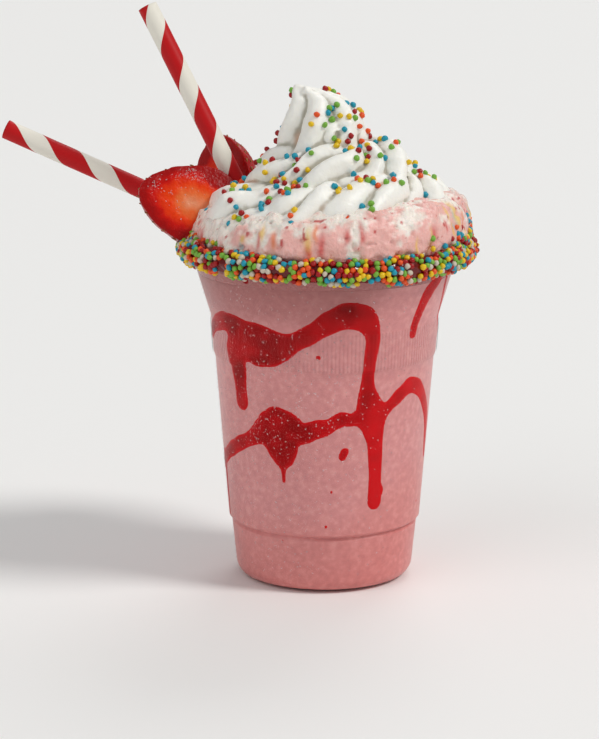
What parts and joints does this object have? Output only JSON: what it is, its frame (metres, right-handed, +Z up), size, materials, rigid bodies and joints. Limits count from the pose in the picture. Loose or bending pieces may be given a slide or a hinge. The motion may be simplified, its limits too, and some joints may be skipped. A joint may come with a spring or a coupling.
{
  "type": "milkshake",
  "caption": "Strawberry milkshake in a clear take-away cup with pink froth, piped whipped cream, a sugar-beaded lip, striped paper straws and halved strawberries.",
  "frame": {"origin": "centre of the ring that the cup stands on", "axes": "+Z up along the cup's axis, -Y towards the side with the syrup trails, -X towards the side that the straws lean to"},
  "size_m": [0.176, 0.109, 0.2084],
  "materials": {
    "clear_plastic": "clear thin moulded plastic, lightly misted",
    "strawberry_drink": "smooth opaque pink drink",
    "pink_froth": "wet airy froth",
    "cream": "soft white piped cream",
    "berry_sauce": "sticky sauce set with sugar beads",
    "paper_straw": "rolled paper with a spiral stripe",
    "strawberry": "wet cut berry"
  },
  "bodies": {
    "root": {"cup": "clear_plastic", "milkshake": "strawberry_drink", "froth": "pink_froth", "whipped_cream": "cream", "rim_coating": "berry_sauce", "straw_tall": "paper_straw", "straw_low": "paper_straw", "strawberry_front": "strawberry", "strawberry_back": "strawberry"}
  },
  "joints": []
}
